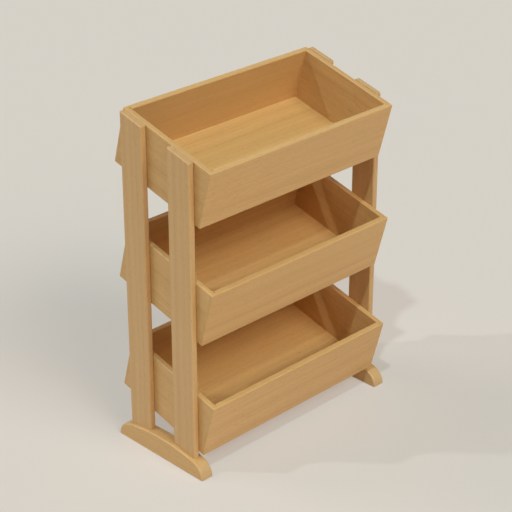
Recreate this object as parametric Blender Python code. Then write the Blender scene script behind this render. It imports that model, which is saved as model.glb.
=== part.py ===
"""Shelving rack: three open wooden bins, tilted forward between posts that stand in two arched feet."""

import math

import bmesh
import bpy
from mathutils import Matrix

# Bins, measured outside, square to their own tilted floors (metres)
BIN_LENGTH = 0.600
BIN_DEPTH = 0.300
BIN_HEIGHT = 0.150
BIN_TILT = math.radians(15.0)
TIERS = ("lower", "middle", "upper")
TIER_PITCH = 0.299
FRONT_EDGE_HEIGHT = 0.052  # ground to the lowest edge of the lower bin

# Boards of a bin
WALL = 0.015
FLOOR_BOARD = 0.006
FLOOR_RISE = 0.0075  # lower edge of the walls to the groove of the floor board
HOUSING_DEPTH = 0.007  # depth of the corner rebates and of the floor grooves
BIN_ROUND = 0.003

# Posts
POST_THICKNESS = 0.017
POST_WIDTH = 0.073
POST_SPACING = 0.157  # front post to rear post, centre to centre
POST_SETBACK = 0.004  # how far posts and feet stand behind the middle of the bins
POST_ROUND = 0.004

# Feet
FOOT_WIDTH = 0.035
FOOT_OVERHANG = 0.0365  # reach of a foot beyond its posts, at each end
FOOT_END_RADIUS = 0.042
FOOT_CROWN_RISE = 0.013  # height that the crown adds above the end rounds
FOOT_ROUND = 0.004
FOOT_EASE = 0.002  # rounding of the edges that meet the ground
MORTISE_FLOOR = 0.015  # wood left under the end of a post

# Dowels that join bin ends to posts
DOWEL_DIAMETER = 0.008
DOWEL_EDGE = 0.038  # rim or lower edge of a bin end to the nearer dowel
DOWEL_COVER = 0.004  # wood left beyond each end of a dowel

CLEARANCE = 0.0003  # gap between a piece and the seat that holds it
OVERCUT = 0.010  # how far a cut runs past the face it leaves by

# Facets
ROUND_STEPS = 3
END_ARC_STEPS = 12
CROWN_ARC_STEPS = 16
DOWEL_SIDES = 12
SHARP_ANGLE = math.radians(30.0)

# Sizes that follow from those above
BIN_END = BIN_LENGTH / 2
HOUSED_LENGTH = BIN_LENGTH - 2 * (WALL - HOUSING_DEPTH)
HOUSED_DEPTH = BIN_DEPTH - 2 * (WALL - HOUSING_DEPTH)
END_CENTRE_X = BIN_END - WALL / 2
WALL_CENTRE_Y = BIN_DEPTH / 2 - WALL / 2
FLOOR_CENTRE_Z = -BIN_HEIGHT / 2 + FLOOR_RISE + CLEARANCE + FLOOR_BOARD / 2
POST_CENTRE_X = BIN_END + CLEARANCE + POST_THICKNESS / 2
FOOT_LENGTH = POST_SPACING + POST_WIDTH + 2 * FOOT_OVERHANG
FOOT_HEIGHT = FOOT_END_RADIUS + FOOT_CROWN_RISE
LOWEST_CENTRE_Z = (
    FRONT_EDGE_HEIGHT + BIN_DEPTH / 2 * math.sin(BIN_TILT) + BIN_HEIGHT / 2 * math.cos(BIN_TILT)
)
TIER_CENTRES = [LOWEST_CENTRE_Z + TIER_PITCH * count for count in range(len(TIERS))]
DOWEL_OFFSET = BIN_HEIGHT / 2 - DOWEL_EDGE
SOCKET_IN_END = WALL - DOWEL_COVER
SOCKET_IN_POST = POST_THICKNESS - DOWEL_COVER
SOCKET_LENGTH = SOCKET_IN_END + CLEARANCE + SOCKET_IN_POST
SOCKET_CENTRE_X = BIN_END - SOCKET_IN_END + SOCKET_LENGTH / 2

SIDES = {"left": -1, "right": 1}
PLACES = {"front": -1, "rear": 1}
RANKS = {"low": -1, "high": 1}

ACROSS = (math.pi / 2, 0.0, math.pi / 2)  # stands an outline of depth and height square to the bins' length

# sRGB colour and roughness of each wood
WOODS = {
    "bin_wood": ("C59D63", 0.48),
    "floor_wood": ("C79F64", 0.50),
    "post_wood": ("C49C65", 0.48),
    "foot_wood": ("C59E66", 0.48),
    "dowel_wood": ("D9BE94", 0.60),
}


def height_at(centre_z, y, offset):
    """Height above the ground, at depth y, of the plane that lies offset above a bin's middle plane."""
    return centre_z + y * math.tan(BIN_TILT) + offset / math.cos(BIN_TILT)


def make_collection(name):
    collection = bpy.data.collections.new(name)
    bpy.context.scene.collection.children.link(collection)
    return collection


def make_material(name, colour, roughness):
    channels = [int(colour[start : start + 2], 16) / 255 for start in (0, 2, 4)]
    linear = [((value + 0.055) / 1.055) ** 2.4 for value in channels]
    material = bpy.data.materials.new(name)
    material.use_nodes = True
    shader = material.node_tree.nodes["Principled BSDF"]
    shader.inputs["Base Color"].default_value = (*linear, 1.0)
    shader.inputs["Roughness"].default_value = roughness
    shader.inputs["Metallic"].default_value = 0.0
    return material


def mesh_of(bm, name):
    mesh = bpy.data.meshes.new(name)
    bm.to_mesh(mesh)
    bm.free()
    return mesh


def round_edges(bm, radius, wanted):
    sharp = [edge for edge in bm.edges if edge.calc_face_angle() > SHARP_ANGLE and wanted(edge)]
    bmesh.ops.bevel(
        bm, geom=sharp, offset=radius, segments=ROUND_STEPS, profile=0.5, affect="EDGES", clamp_overlap=True
    )


def runs_along_depth(edge):
    start, end = (vert.co for vert in edge.verts)
    return abs(end.y - start.y) > max(abs(end.x - start.x), abs(end.z - start.z))


def on_ground(edge):
    """True for an edge along the base of an upright outline, before the outline is stood up."""
    return max(abs(vert.co.y) for vert in edge.verts) < CLEARANCE / 100


def box(size):
    bm = bmesh.new()
    bmesh.ops.create_cube(bm, size=1.0)
    bmesh.ops.scale(bm, vec=size, verts=bm.verts)
    return bm


def rods(diameter, length, heights):
    """Round rods along X, one at each height."""
    bm = bmesh.new()
    lay_down = Matrix.Rotation(math.pi / 2, 4, "Y")
    for height in heights:
        bmesh.ops.create_cone(
            bm,
            cap_ends=True,
            segments=DOWEL_SIDES,
            radius1=diameter / 2,
            radius2=diameter / 2,
            depth=length,
            matrix=Matrix.Translation((0.0, 0.0, height)) @ lay_down,
        )
    return bm


def extruded(outline, thickness):
    """A flat outline thickened equally to both sides, with each cap left as one face."""
    curve = bpy.data.curves.new("outline", "CURVE")
    curve.dimensions = "2D"
    curve.fill_mode = "BOTH"
    curve.extrude = thickness / 2
    spline = curve.splines.new("POLY")
    spline.points.add(len(outline) - 1)
    for point, (across, up) in zip(spline.points, outline):
        point.co = (across, up, 0.0, 1.0)
    spline.use_cyclic_u = True
    guide = bpy.data.objects.new("outline", curve)
    bpy.context.scene.collection.objects.link(guide)
    graph = bpy.context.evaluated_depsgraph_get()
    mesh = bpy.data.meshes.new_from_object(guide.evaluated_get(graph))
    bpy.data.objects.remove(guide)
    bpy.data.curves.remove(curve)
    bm = bmesh.new()
    bm.from_mesh(mesh)
    bpy.data.meshes.remove(mesh)
    bmesh.ops.remove_doubles(bm, verts=bm.verts, dist=CLEARANCE / 100)
    bmesh.ops.dissolve_limit(bm, angle_limit=SHARP_ANGLE / 100, verts=bm.verts, edges=bm.edges)
    bmesh.ops.recalc_face_normals(bm, faces=bm.faces)
    return bm


def place(name, mesh, location, material=None, parent=None, rotation=(0.0, 0.0, 0.0)):
    """A piece of the rack where a material is given, and a cutter where none is."""
    piece = bpy.data.objects.new(name, mesh)
    piece.location = location
    piece.rotation_euler = rotation
    piece.parent = parent
    if material:
        RACK.objects.link(piece)
        mesh.materials.clear()
        mesh.materials.append(material)
    else:
        CUTTERS.objects.link(piece)
        piece.hide_render = True
        piece.display_type = "WIRE"
    return piece


def cut(piece, cutter):
    modifier = piece.modifiers.new(cutter.name, "BOOLEAN")
    modifier.operation = "DIFFERENCE"
    modifier.solver = "EXACT"
    modifier.object = cutter


def arc(centre, radius, start, end, steps):
    angles = [start + (end - start) * step / steps for step in range(steps + 1)]
    return [(centre[0] + radius * math.cos(a), centre[1] + radius * math.sin(a)) for a in angles]


def foot_outline():
    """A three-centred arch: a wide crown that runs smoothly into a round at each end."""
    reach = FOOT_LENGTH / 2 - FOOT_END_RADIUS
    crown_radius = (reach**2 + FOOT_HEIGHT**2 - FOOT_END_RADIUS**2) / (2 * FOOT_CROWN_RISE)
    spread = math.asin(reach / (crown_radius - FOOT_END_RADIUS))
    front = math.pi / 2 - spread
    back = math.pi / 2 + spread
    first_end = arc((reach, 0.0), FOOT_END_RADIUS, 0.0, front, END_ARC_STEPS)
    crown = arc((0.0, FOOT_HEIGHT - crown_radius), crown_radius, front, back, CROWN_ARC_STEPS)
    last_end = arc((-reach, 0.0), FOOT_END_RADIUS, back, math.pi, END_ARC_STEPS)
    return first_end + crown[1:-1] + last_end


def post_solid(sign, y, growth):
    """A post at depth y, its top cut flush with the upper bin's rim; growth swells it to its mortise."""
    front = y - POST_WIDTH / 2 - growth
    back = y + POST_WIDTH / 2 + growth
    foot_end = MORTISE_FLOOR + CLEARANCE - growth
    rim = BIN_HEIGHT / 2
    outline = [
        (front, foot_end),
        (back, foot_end),
        (back, height_at(TIER_CENTRES[-1], back, rim)),
        (front, height_at(TIER_CENTRES[-1], front, rim)),
    ]
    bm = extruded(outline, POST_THICKNESS + 2 * growth)
    radius = min(POST_ROUND, POST_THICKNESS / 3) + growth

    def shows(edge):
        heights = [vert.co.y for vert in edge.verts]
        against_rim = min(heights) > FOOT_HEIGHT and max(sign * vert.co.z for vert in edge.verts) < 0.0
        return max(heights) > FOOT_HEIGHT and not against_rim

    round_edges(bm, radius, shows)
    return bm


def make_bin(tier, centre_z):
    """Five boards about one tilted frame. Returns the two ends, which the posts carry."""
    frame = bpy.data.objects.new(f"{tier}_bin_frame", None)
    frame.location = (0.0, 0.0, centre_z)
    frame.rotation_euler = (BIN_TILT, 0.0, 0.0)
    RACK.objects.link(frame)
    radius = min(BIN_ROUND, WALL / 3)

    floor_size = (HOUSED_LENGTH - 2 * CLEARANCE, HOUSED_DEPTH - 2 * CLEARANCE, FLOOR_BOARD)
    floor_spot = (0.0, 0.0, FLOOR_CENTRE_Z)
    floor_mesh = mesh_of(box(floor_size), f"{tier}_bin_floor")
    place(f"{tier}_bin_floor", floor_mesh, floor_spot, MATERIALS["floor_wood"], frame)
    groove_size = [side + 2 * CLEARANCE for side in floor_size]
    groove = place(f"{tier}_groove", mesh_of(box(groove_size), "groove"), floor_spot, parent=frame)

    ends = {}
    rebates = []
    for side, sign in SIDES.items():
        spot = (sign * END_CENTRE_X, 0.0, 0.0)
        bm = box((WALL, HOUSED_DEPTH - 2 * CLEARANCE, BIN_HEIGHT))
        round_edges(bm, radius, runs_along_depth)
        name = f"{tier}_bin_{side}_end"
        ends[side] = place(name, mesh_of(bm, name), spot, MATERIALS["bin_wood"], frame)
        cut(ends[side], groove)
        rebate_size = (WALL + 2 * CLEARANCE + OVERCUT, HOUSED_DEPTH, BIN_HEIGHT + 2 * OVERCUT)
        rebate_spot = (sign * (END_CENTRE_X + OVERCUT / 2), 0.0, 0.0)
        rebate_mesh = mesh_of(box(rebate_size), "rebate")
        rebates.append(place(f"{tier}_{side}_rebate", rebate_mesh, rebate_spot, parent=frame))

    for wall, sign in {"front": -1, "back": 1}.items():
        bm = box((BIN_LENGTH, WALL, BIN_HEIGHT))
        round_edges(bm, radius, lambda edge: True)
        name = f"{tier}_bin_{wall}"
        spot = (0.0, sign * WALL_CENTRE_Y, 0.0)
        board = place(name, mesh_of(bm, name), spot, MATERIALS["bin_wood"], frame)
        for cutter in (groove, *rebates):
            cut(board, cutter)
    return ends


def make_foot(side, sign):
    bm = extruded(foot_outline(), FOOT_WIDTH)
    round_edges(bm, min(FOOT_ROUND, FOOT_WIDTH / 3), lambda edge: not on_ground(edge))
    round_edges(bm, FOOT_EASE, on_ground)
    name = f"{side}_foot"
    spot = (sign * POST_CENTRE_X, POST_SETBACK, 0.0)
    return place(name, mesh_of(bm, name), spot, MATERIALS["foot_wood"], rotation=ACROSS)


def make_post(side, sign, spot_name, y, foot):
    name = f"{side}_{spot_name}_post"
    spot = (sign * POST_CENTRE_X, 0.0, 0.0)
    mesh = mesh_of(post_solid(sign, y, 0.0), name)
    post = place(name, mesh, spot, MATERIALS["post_wood"], rotation=ACROSS)
    mortise_mesh = mesh_of(post_solid(sign, y, CLEARANCE), "mortise")
    cut(foot, place(f"{side}_{spot_name}_mortise", mortise_mesh, spot, rotation=ACROSS))
    return post


def join_bin_to_post(tier, centre_z, side, sign, spot_name, y, end, post):
    """Two blind dowels on the post's centre line, in sockets that run from the bin's end into the post."""
    name = f"{tier}_bin_{side}_{spot_name}"
    spot = (sign * SOCKET_CENTRE_X, y, height_at(centre_z, y, 0.0))
    rises = {rank: up * DOWEL_OFFSET / math.cos(BIN_TILT) for rank, up in RANKS.items()}
    socket_mesh = mesh_of(rods(DOWEL_DIAMETER + 2 * CLEARANCE, SOCKET_LENGTH, rises.values()), "sockets")
    sockets = place(f"{name}_sockets", socket_mesh, spot)
    cut(end, sockets)
    cut(post, sockets)
    for rank, rise in rises.items():
        dowel_mesh = mesh_of(rods(DOWEL_DIAMETER, SOCKET_LENGTH - 2 * CLEARANCE, [rise]), "dowel")
        place(f"{name}_dowel_{rank}", dowel_mesh, spot, MATERIALS["dowel_wood"])


for leftover in list(bpy.data.objects):
    bpy.data.objects.remove(leftover, do_unlink=True)

RACK = make_collection("tilted_bin_rack")
CUTTERS = make_collection("cutters")
MATERIALS = {name: make_material(name, *finish) for name, finish in WOODS.items()}

BIN_ENDS = {tier: make_bin(tier, centre_z) for tier, centre_z in zip(TIERS, TIER_CENTRES)}

for side, sign in SIDES.items():
    foot = make_foot(side, sign)
    for spot_name, step in PLACES.items():
        y = POST_SETBACK + step * POST_SPACING / 2
        post = make_post(side, sign, spot_name, y, foot)
        for tier, centre_z in zip(TIERS, TIER_CENTRES):
            join_bin_to_post(tier, centre_z, side, sign, spot_name, y, BIN_ENDS[tier][side], post)
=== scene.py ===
import math
import random

import bmesh
import bpy
from mathutils import Matrix, Vector


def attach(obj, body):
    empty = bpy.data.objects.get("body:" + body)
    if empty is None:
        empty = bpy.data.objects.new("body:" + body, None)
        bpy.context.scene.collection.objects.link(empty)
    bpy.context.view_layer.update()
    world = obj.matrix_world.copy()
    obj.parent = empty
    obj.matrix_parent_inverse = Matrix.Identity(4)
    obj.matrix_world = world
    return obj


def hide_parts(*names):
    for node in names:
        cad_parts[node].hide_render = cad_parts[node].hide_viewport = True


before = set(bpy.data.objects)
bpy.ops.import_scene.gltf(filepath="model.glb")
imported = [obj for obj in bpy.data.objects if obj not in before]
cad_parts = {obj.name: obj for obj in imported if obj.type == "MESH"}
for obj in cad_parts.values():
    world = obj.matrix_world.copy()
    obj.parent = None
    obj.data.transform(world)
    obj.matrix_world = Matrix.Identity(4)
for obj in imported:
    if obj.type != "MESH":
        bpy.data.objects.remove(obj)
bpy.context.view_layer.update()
print("frame loaded:", len(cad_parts), "solids")

mm = 0.001
dice = random.Random(31)  # picks the place in the log that each board was sawn from
rack = bpy.data.collections.new("tiltedBinRack")
bpy.context.scene.collection.children.link(rack)


def linear(hexColour):
    channels = [int(hexColour[i:i + 2], 16) / 255 for i in (0, 2, 4)]
    flat = [c / 12.92 if c <= 0.04045 else ((c + 0.055) / 1.055) ** 2.4 for c in channels]
    return (*flat, 1.0)


def addNode(tree, kind, sockets, **settings):
    node = tree.nodes.new("ShaderNode" + kind)
    for name, value in settings.items():
        setattr(node, name, value)
    for name, value in sockets.items():
        if isinstance(value, bpy.types.NodeSocket):
            tree.links.new(value, node.inputs[name])
        else:
            node.inputs[name].default_value = value
    return node


def seenDirectly(tree):
    rays = addNode(tree, "LightPath", {})
    seen = rays.outputs["Is Camera Ray"]
    for other in ("Is Glossy Ray", "Is Transmission Ray"):
        seen = addNode(
            tree, "Math", {0: seen, 1: rays.outputs[other]}, operation="MAXIMUM"
        ).outputs[0]
    return seen


def towards(azimuth, elevation):
    a, e = math.radians(azimuth), math.radians(elevation)
    return Vector((math.sin(a) * math.cos(e), -math.cos(a) * math.cos(e), math.sin(e)))


# Camera: front left, a little above the top bin
cameraSet = {
    "place": (-2.45083, -2.48506, 2.16913),
    "azimuth": -44.5973,
    "elevation": 26.4093,
    "lens": 111.755,
    "sensor": 36.0,
}
cameraData = bpy.data.cameras.new("camera")
cameraData.lens = cameraSet["lens"]
cameraData.sensor_width = cameraSet["sensor"]
camera = bpy.data.objects.new("camera", cameraData)
camera.location = cameraSet["place"]
camera.rotation_mode = "QUATERNION"
lookingBack = towards(cameraSet["azimuth"], cameraSet["elevation"])
camera.rotation_quaternion = (-lookingBack).to_track_quat("-Z", "Y")
bpy.context.scene.collection.objects.link(camera)
bpy.context.scene.camera = camera
print("camera set")


# Woods. Coordinates are those of the log: X along the trunk, Y and Z out from its pith.
# Growth rings are about 2.5 mm apart and fibres about 0.3 mm wide, finer than a pixel of the
# render, so both are drawn a few times coarser than they are.
woods = {
    "bin_wood": {
        # rubberwood, planed and sealed with satin lacquer:
        # even honey tone, faint straight streaks, soft sheen
        "name": "rubberwoodPlanedLacquered",
        "pale": "DAAD6F", "deep": "C39355", "endGrain": "B17F48", "fleck": "A4743E",
        "ring": 7.0 * mm, "wander": 16.0 * mm,
        "fibre": (110 * mm, 2.2 * mm), "pore": (14 * mm, 1.3 * mm),
        "roughness": (0.40, 0.54), "coat": 0.15, "endShare": 0.12,
    },
    "floor_wood": {
        # birch plywood, sanded and lacquered: a peeled face with broad soft bands
        "name": "birchPlywoodSandedLacquered",
        "pale": "DCB06F", "deep": "C39354", "endGrain": "A87A46", "fleck": "A2723A",
        "ring": 11.0 * mm, "wander": 30.0 * mm,
        "fibre": (130 * mm, 2.6 * mm), "pore": (16 * mm, 1.4 * mm),
        "roughness": (0.42, 0.56), "coat": 0.12, "endShare": 0.12,
    },
    "post_wood": {
        # rubberwood, planed and lacquered: the same wood sawn into narrow boards,
        # streaks run up the posts
        "name": "rubberwoodSawnLacquered",
        "pale": "D5AA73", "deep": "BE9157", "endGrain": "B17F48", "fleck": "A4743E",
        "ring": 7.0 * mm, "wander": 12.0 * mm,
        "fibre": (120 * mm, 2.2 * mm), "pore": (14 * mm, 1.3 * mm),
        "roughness": (0.40, 0.54), "coat": 0.15, "endShare": 0.12,
    },
    "foot_wood": {
        # rubberwood, shaped on a spindle and lacquered: streaks run along the foot,
        # greyer end grain shows on the rounds
        "name": "rubberwoodShapedLacquered",
        "pale": "DBB073", "deep": "C29357", "endGrain": "B39A74", "fleck": "A2723C",
        "ring": 6.0 * mm, "wander": 10.0 * mm,
        "fibre": (100 * mm, 2.0 * mm), "pore": (12 * mm, 1.3 * mm),
        "roughness": (0.40, 0.54), "coat": 0.15, "endShare": 0.40,
    },
    "dowel_wood": {
        # beech, turned and left bare: pale, matt, flecked with short rays
        "name": "beechTurnedBare",
        "pale": "DCC39B", "deep": "C6A67A", "endGrain": "B08F64", "fleck": "A07A4E",
        "ring": 3.0 * mm, "wander": 3.0 * mm,
        "fibre": (30 * mm, 0.9 * mm), "pore": (4 * mm, 0.6 * mm),
        "roughness": (0.55, 0.68), "coat": 0.0, "endShare": 0.12,
    },
}


# Marks of growth that all the woods share, and how much each counts in a board's tone
grainSet = {
    "drift": (550 * mm, 120 * mm),  # reach of the rings' slow wander, along and across the trunk
    "bandScale": 0.55, "lateSharpness": 5.0, "boardScale": 1.3, "poreRange": (0.64, 0.78),
    "bands": 0.75, "fibres": 0.55, "board": 0.50, "late": 0.14, "start": -0.30, "shift": -0.15,
    "flecks": 0.35, "pits": -0.5, "bump": 0.35, "bumpDepth": 0.12 * mm,
    "woodIor": 1.5, "coatIor": 1.48, "coatRoughness": 0.30,  # wood fibre under a clear lacquer
}


def woodMaterial(wood, coordinates):
    g = grainSet
    material = bpy.data.materials.new(wood["name"])
    material.use_nodes = True
    tree = material.node_tree
    shader = tree.nodes["Principled BSDF"]
    if coordinates == "log":
        place = addNode(tree, "Attribute", {}, attribute_name="logPlace").outputs["Vector"]
    else:
        place = addNode(tree, "TexCoord", {}).outputs["Object"]

    # the place counted in drifts, fibres and pores
    counted = {}
    reaches = {"drift": g["drift"], "fibre": wood["fibre"], "pore": wood["pore"]}
    for mark, (along, thick) in reaches.items():
        perMark = (1 / along, 1 / thick, 1 / thick)
        counted[mark] = addNode(
            tree, "VectorMath", {0: place, 1: perMark}, operation="MULTIPLY"
        ).outputs[0]

    # rings: distance from the pith, with a slow drift along the trunk
    drift = addNode(
        tree, "TexNoise",
        {"Vector": counted["drift"], "Scale": 1.0, "Detail": 2.0, "Roughness": 0.45},
    )
    across = addNode(tree, "VectorMath", {0: place, 1: (0.0, 1.0, 1.0)}, operation="MULTIPLY")
    radius = addNode(tree, "VectorMath", {0: across.outputs[0]}, operation="LENGTH")
    radius = addNode(
        tree, "Math", {0: drift.outputs["Fac"], 1: wood["wander"], 2: radius.outputs["Value"]},
        operation="MULTIPLY_ADD",
    )
    rings = addNode(tree, "Math", {0: radius.outputs[0], 1: wood["ring"]}, operation="DIVIDE")
    bands = addNode(
        tree, "TexNoise",
        {"W": rings.outputs[0], "Scale": g["bandScale"], "Detail": 3.0, "Roughness": 0.6},
        noise_dimensions="1D",
    )
    late = addNode(tree, "Math", {0: rings.outputs[0]}, operation="FRACT")
    late = addNode(tree, "Math", {0: late.outputs[0], 1: g["lateSharpness"]}, operation="POWER")

    # fibres, pores, and the tone of the board as a whole
    fibre = addNode(
        tree, "TexNoise",
        {"Vector": counted["fibre"], "Scale": 1.0, "Detail": 2.0, "Roughness": 0.55},
    )
    pore = addNode(tree, "TexNoise", {"Vector": counted["pore"], "Scale": 1.0, "Detail": 0.0})
    thin, full = g["poreRange"]
    pore = addNode(
        tree, "MapRange", {"Value": pore.outputs["Fac"], "From Min": thin, "From Max": full},
        interpolation_type="SMOOTHSTEP",
    )
    board = addNode(tree, "TexNoise", {"Vector": place, "Scale": g["boardScale"], "Detail": 0.0})

    # weighed together into one tone, 0 pale to 1 deep
    marks = {
        "bands": bands.outputs["Fac"], "fibres": fibre.outputs["Fac"],
        "board": board.outputs["Fac"], "late": late.outputs[0],
    }
    tone = g["start"]
    for mark, strength in marks.items():
        tone = addNode(
            tree, "Math", {0: strength, 1: g[mark], 2: tone}, operation="MULTIPLY_ADD"
        ).outputs[0]
    tone = addNode(tree, "Math", {0: tone, 1: g["shift"]}, operation="ADD", use_clamp=True)
    fleck = addNode(tree, "Math", {0: pore.outputs["Result"], 1: g["flecks"]}, operation="MULTIPLY")

    # sawn ends drink more lacquer and go a little darker and greyer
    normal = addNode(tree, "NewGeometry", {}).outputs["Normal"]
    normal = addNode(
        tree, "VectorTransform", {"Vector": normal},
        vector_type="NORMAL", convert_from="WORLD", convert_to="OBJECT",
    )
    ends = addNode(tree, "SeparateXYZ", {"Vector": normal.outputs[0]})
    ends = addNode(tree, "Math", {0: ends.outputs["X"], 1: 2.0}, operation="POWER")
    ends = addNode(
        tree, "Math", {0: ends.outputs[0], 1: wood["endShare"]},
        operation="MULTIPLY", use_clamp=True,
    )
    colour = linear(wood["pale"])
    for share, other in ((tone, "deep"), (fleck, "fleck"), (ends, "endGrain")):
        colour = addNode(
            tree, "Mix", {0: share.outputs[0], 6: colour, 7: linear(wood[other])}, data_type="RGBA"
        ).outputs[2]
    tree.links.new(colour, shader.inputs["Base Color"])

    low, high = wood["roughness"]
    rough = addNode(
        tree, "MapRange", {"Value": fibre.outputs["Fac"], "To Min": low, "To Max": high}
    )
    tree.links.new(rough.outputs["Result"], shader.inputs["Roughness"])
    height = addNode(
        tree, "Math", {0: pore.outputs["Result"], 1: g["pits"], 2: fibre.outputs["Fac"]},
        operation="MULTIPLY_ADD",
    )
    bump = addNode(
        tree, "Bump",
        {"Height": height.outputs[0], "Strength": g["bump"], "Distance": g["bumpDepth"]},
    )
    tree.links.new(bump.outputs["Normal"], shader.inputs["Normal"])
    shader.inputs["IOR"].default_value = g["woodIor"]
    shader.inputs["Coat Weight"].default_value = wood["coat"]
    shader.inputs["Coat Roughness"].default_value = g["coatRoughness"]
    shader.inputs["Coat IOR"].default_value = g["coatIor"]
    return material


materials = {}
for slot, wood in woods.items():
    materials[slot] = woodMaterial(wood, "object" if slot == "dowel_wood" else "log")
print("woods mixed:", ", ".join(m.name for m in materials.values()))


# Tools of the bench
roundSteps = 5
sharpAngle = math.radians(30.0)
logSet = {"along": (0.0, 40.0), "fromPith": (0.10, 0.22), "toSide": (0.05, 0.16)}  # metres


def planed(size):
    bm = bmesh.new()
    bmesh.ops.create_cube(bm, size=1.0)
    bmesh.ops.scale(bm, vec=size, verts=bm.verts)
    return bm


def sawn(outline, thickness):
    # an outline across X and up Y, thickened to both sides along Z
    bm = bmesh.new()
    faces = []
    for z in (-thickness / 2, thickness / 2):
        faces.append(bm.faces.new([bm.verts.new((x, y, z)) for x, y in outline]))
    lower, upper = (list(face.verts) for face in faces)
    for i, corner in enumerate(lower):
        j = (i + 1) % len(lower)
        bm.faces.new((corner, lower[j], upper[j], upper[i]))
    bmesh.ops.recalc_face_normals(bm, faces=bm.faces)
    return bm


def eased(bm, radius, wanted):
    sharp = [edge for edge in bm.edges if edge.calc_face_angle() > sharpAngle and wanted(edge)]
    bmesh.ops.bevel(
        bm, geom=sharp, offset=radius, segments=roundSteps, profile=0.5,
        affect="EDGES", clamp_overlap=True,
    )
    return bm


def meshFrom(bm, name):
    mesh = bpy.data.meshes.new(name)
    bm.to_mesh(mesh)
    bm.free()
    return mesh


def cutAway(piece, cutters):
    for bm, matrix in cutters:
        cutter = bpy.data.objects.new("cutter", meshFrom(bm, "cutter"))
        cutter.matrix_world = matrix
        rack.objects.link(cutter)
        change = piece.modifiers.new("cut", "BOOLEAN")
        change.solver = "EXACT"
        change.object = cutter
    bpy.context.view_layer.update()
    graph = bpy.context.evaluated_depsgraph_get()
    mesh = bpy.data.meshes.new_from_object(piece.evaluated_get(graph))
    for change in list(piece.modifiers):
        cutter = change.object
        piece.modifiers.remove(change)
        bpy.data.objects.remove(cutter)
    piece.data = mesh


def boardPiece(name, bm, matrix, slot, grain, cutters=()):
    # grain turns the piece's own axes so that X runs along the trunk
    turn = grain.to_4x4()
    bm.transform(turn.inverted())
    piece = bpy.data.objects.new(name + "_board", meshFrom(bm, name))
    piece.matrix_world = matrix @ turn
    rack.objects.link(piece)
    if cutters:
        cutAway(piece, cutters)
    mesh = piece.data
    mesh.name = name
    mesh.materials.clear()
    mesh.materials.append(materials[slot])
    along, fromPith = dice.uniform(*logSet["along"]), dice.uniform(*logSet["fromPith"])
    toSide = dice.choice((-1, 1)) * dice.uniform(*logSet["toSide"])
    log = Vector((along, fromPith, toSide))
    logPlace = mesh.attributes.new("logPlace", "FLOAT_VECTOR", "POINT")
    for vertex, spot in zip(mesh.vertices, logPlace.data):
        spot.vector = vertex.co + log
    mesh.shade_smooth()
    mesh.set_sharp_from_angle(angle=sharpAngle)
    flat = piece.modifiers.new("flatFaces", "WEIGHTED_NORMAL")
    flat.keep_sharp = True
    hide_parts(name)
    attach(piece, "root")


# ways the grain of a board can run
alongX = Matrix.Identity(3)
alongY = Matrix(((0, -1, 0), (1, 0, 0), (0, 0, 1)))
gap = 0.04 * mm  # hairline of a glued joint
overcut = 10 * mm  # how far a cutter stands past the board


# Bins: five boards each, tilted forward as one
binSet = {
    "tiers": {"lower": 163.2673, "middle": 462.2673, "upper": 761.2673},  # height of the middle, mm
    "length": 600 * mm, "depth": 300 * mm, "height": 150 * mm, "tilt": math.radians(15),
    "wall": 15 * mm, "round": 3 * mm, "rebate": 7 * mm,
    "floor": 6 * mm, "floorRise": 7.5 * mm,
}


def alongDepth(edge):
    start, end = (v.co for v in edge.verts)
    return abs(end.y - start.y) > max(abs(end.x - start.x), abs(end.z - start.z))


def makeBin(tier, height):
    b = binSet
    middle = Matrix.Translation((0, 0, height * mm)) @ Matrix.Rotation(b["tilt"], 4, "X")
    innerLength = b["length"] - 2 * (b["wall"] - b["rebate"])
    innerDepth = b["depth"] - 2 * (b["wall"] - b["rebate"])
    endX = (b["length"] - b["wall"]) / 2
    wallY = (b["depth"] - b["wall"]) / 2
    floorSize = (innerLength - 2 * gap, innerDepth - 2 * gap, b["floor"])
    floorHeight = -b["height"] / 2 + b["floorRise"] + gap + b["floor"] / 2
    floorSpot = middle @ Matrix.Translation((0, 0, floorHeight))
    grooveSize = [side + 2 * gap for side in floorSize]
    rebateSize = (b["wall"] + 2 * gap + overcut, innerDepth, b["height"] + 2 * overcut)

    boardPiece(f"{tier}_bin_floor", planed(floorSize), floorSpot, "floor_wood", alongX)
    for side, sign in {"left": -1, "right": 1}.items():
        bm = eased(planed((b["wall"], innerDepth - 2 * gap, b["height"])), b["round"], alongDepth)
        spot = middle @ Matrix.Translation((sign * endX, 0, 0))
        groove = [(planed(grooveSize), floorSpot)]
        boardPiece(f"{tier}_bin_{side}_end", bm, spot, "bin_wood", alongY, groove)
    for wall, sign in {"front": -1, "back": 1}.items():
        bm = eased(planed((b["length"], b["wall"], b["height"])), b["round"], lambda edge: True)
        spot = middle @ Matrix.Translation((0, sign * wallY, 0))
        cutters = [(planed(grooveSize), floorSpot)]
        for end in (-1, 1):
            rebateSpot = middle @ Matrix.Translation((end * (endX + overcut / 2), 0, 0))
            cutters.append((planed(rebateSize), rebateSpot))
        boardPiece(f"{tier}_bin_{wall}", bm, spot, "bin_wood", alongX, cutters)


for tier, height in binSet["tiers"].items():
    makeBin(tier, height)
print("bins made:", ", ".join(binSet["tiers"]))


# Posts: four boards that run past the bins, with their tops cut to the slope of the upper rim
postSet = {
    "thickness": 17 * mm, "width": 73 * mm, "spacing": 157 * mm, "setback": 4 * mm,
    "round": 4 * mm, "bottom": 15.3 * mm, "squareBelow": 55 * mm,
}
postX = binSet["length"] / 2 + gap + postSet["thickness"] / 2
# stands an outline that is drawn across X and up Y across the rack's depth
upright = Matrix(((0, 0, 1, 0), (1, 0, 0, 0), (0, 1, 0, 0), (0, 0, 0, 1)))


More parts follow.
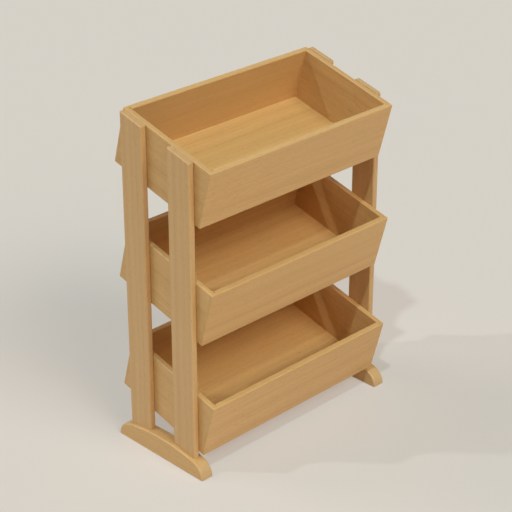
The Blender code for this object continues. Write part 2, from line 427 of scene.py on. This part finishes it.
def rimHeight(y):
    middle = binSet["tiers"]["upper"] * mm
    return middle + y * math.tan(binSet["tilt"]) + binSet["height"] / 2 / math.cos(binSet["tilt"])


def postSolid(sign, y, growth):
    p = postSet
    front, back = y - p["width"] / 2 - growth, y + p["width"] / 2 + growth
    bottom = p["bottom"] - growth
    outline = [(front, bottom), (back, bottom), (back, rimHeight(back)), (front, rimHeight(front))]
    bm = sawn(outline, p["thickness"] + 2 * growth)

    def shows(edge):
        heights = [v.co.y for v in edge.verts]
        againstRim = min(heights) > p["squareBelow"] and max(sign * v.co.z for v in edge.verts) < 0
        return max(heights) > p["squareBelow"] and not againstRim

    return eased(bm, p["round"] + growth, shows)


def postY(place):
    return postSet["setback"] + {"front": -1, "rear": 1}[place] * postSet["spacing"] / 2


upGrain = Matrix(((0, 1, 0), (1, 0, 0), (0, 0, -1)))  # the outline's Y is the post's length
for side, sign in {"left": -1, "right": 1}.items():
    for place in ("front", "rear"):
        spot = Matrix.Translation((sign * postX, 0, 0)) @ upright
        bm = postSolid(sign, postY(place), 0.0)
        boardPiece(f"{side}_{place}_post", bm, spot, "post_wood", upGrain)
print("posts made")


# Feet: three-centred arches with generous rounds, mortised for the posts
footSet = {
    "width": 35 * mm, "overhang": 36.5 * mm, "endRadius": 42 * mm, "crownRise": 13 * mm,
    "round": 4 * mm, "ease": 2 * mm, "endSteps": 20, "crownSteps": 28, "flush": 0.001 * mm,
}


def arcOf(centre, radius, start, end, steps):
    angles = [start + (end - start) * i / steps for i in range(steps + 1)]
    return [(centre[0] + radius * math.cos(a), centre[1] + radius * math.sin(a)) for a in angles]


def footOutline():
    f = footSet
    length = postSet["spacing"] + postSet["width"] + 2 * f["overhang"]
    height = f["endRadius"] + f["crownRise"]
    reach = length / 2 - f["endRadius"]
    crown = (reach ** 2 + height ** 2 - f["endRadius"] ** 2) / (2 * f["crownRise"])
    spread = math.asin(reach / (crown - f["endRadius"]))
    front, back = math.pi / 2 - spread, math.pi / 2 + spread
    firstEnd = arcOf((reach, 0.0), f["endRadius"], 0.0, front, f["endSteps"])
    top = arcOf((0.0, height - crown), crown, front, back, f["crownSteps"])
    lastEnd = arcOf((-reach, 0.0), f["endRadius"], back, math.pi, f["endSteps"])
    return firstEnd + top[1:-1] + lastEnd


def onGround(edge):
    return max(abs(v.co.y) for v in edge.verts) < footSet["flush"]


for side, sign in {"left": -1, "right": 1}.items():
    bm = sawn(footOutline(), footSet["width"])
    eased(bm, footSet["round"], lambda edge: not onGround(edge))
    eased(bm, footSet["ease"], onGround)
    spot = Matrix.Translation((sign * postX, postSet["setback"], 0)) @ upright
    mortiseSpot = Matrix.Translation((sign * postX, 0, 0)) @ upright
    mortises = [
        (postSolid(sign, postY(place), gap), mortiseSpot) for place in ("front", "rear")
    ]
    boardPiece(f"{side}_foot", bm, spot, "foot_wood", alongX, mortises)
print("feet made")


# Dowels keep their own solids inside the joints and only take the beech
for name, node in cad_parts.items():
    if "_dowel_" in name:
        node.data.materials.clear()
        node.data.materials.append(materials["dowel_wood"])
print("dowels dressed")


# Studio: pale seamless floor. What sees it directly gets part of its colour as even light,
# which thins the shadows.
floorSet = {
    "paper": "E4D5C8", "seen": "D6D1C7", "even": 0.46, "roughness": 0.9,
    "reach": 40.0, "sides": 96,
}
bm = bmesh.new()
bmesh.ops.create_circle(bm, cap_ends=True, segments=floorSet["sides"], radius=floorSet["reach"])
floor = bpy.data.objects.new("floor", meshFrom(bm, "floor"))
bpy.context.scene.collection.objects.link(floor)
paper = bpy.data.materials.new("seamlessPaperMatt")
paper.use_nodes = True
tree = paper.node_tree
paperShader = tree.nodes["Principled BSDF"]
paperShader.inputs["Base Color"].default_value = linear(floorSet["paper"])
paperShader.inputs["Roughness"].default_value = floorSet["roughness"]
paperShader.inputs["Specular IOR Level"].default_value = 0.0
glow = addNode(tree, "Emission", {"Color": linear(floorSet["seen"]), "Strength": 1.0})
even = addNode(tree, "Math", {0: seenDirectly(tree), 1: floorSet["even"]}, operation="MULTIPLY")
mixed = addNode(
    tree, "MixShader", {0: even.outputs[0], 1: paperShader.outputs[0], 2: glow.outputs[0]}
)
tree.links.new(mixed.outputs[0], tree.nodes["Material Output"].inputs["Surface"])
floor.data.materials.append(paper)

# Lamps: far off, so that the floor is lit evenly. Each has its azimuth, elevation and spread in
# degrees, and its red, green and blue share of the light on the floor.
lampSet = {
    "leftKeyLamp": {"from": (-61.1, 57.3), "spread": 2.5, "share": (0.189, 0.264, 0.292)},
    "backKeyLamp": {"from": (-126.0, 47.5), "spread": 1.5, "share": (0.121, 0.138, 0.152)},
    "frontLeftLamp": {"from": (-14.0, 38.0), "spread": 24.0, "share": (0.171, 0.136, 0.119)},
    "frontRightLamp": {"from": (8.6, 41.0), "spread": 24.0, "share": (0.156, 0.164, 0.152)},
    "highFrontLamp": {"from": (0.0, 50.0), "spread": 26.0, "share": (0.075, 0.109, 0.132)},
    "backLeftLamp": {"from": (-150.0, 30.0), "spread": 26.0, "share": (0.115, 0.105, 0.105)},
}
roomShare = (0.045, 0.047, 0.050)  # even light from all round
for name, lamp in lampSet.items():
    data = bpy.data.lights.new(name, "SUN")
    azimuth, elevation = lamp["from"]
    full = max(lamp["share"])
    data.energy = math.pi * full / math.sin(math.radians(elevation))
    data.color = [share / full for share in lamp["share"]]
    data.angle = math.radians(lamp["spread"])
    light = bpy.data.objects.new(name, data)
    light.rotation_mode = "QUATERNION"
    light.rotation_quaternion = towards(azimuth, elevation).to_track_quat("Z", "Y")
    bpy.context.scene.collection.objects.link(light)

world = bpy.data.worlds.new("room")
world.use_nodes = True
bpy.context.scene.world = world
tree = world.node_tree
sky = addNode(
    tree, "Mix", {0: seenDirectly(tree), 6: (*roomShare, 1.0), 7: linear(floorSet["seen"])},
    data_type="RGBA",
)
tree.links.new(sky.outputs[2], tree.nodes["Background"].inputs["Color"])
print("studio lit")

bpy.context.scene.view_settings.view_transform = "Standard"

print("pieces done")
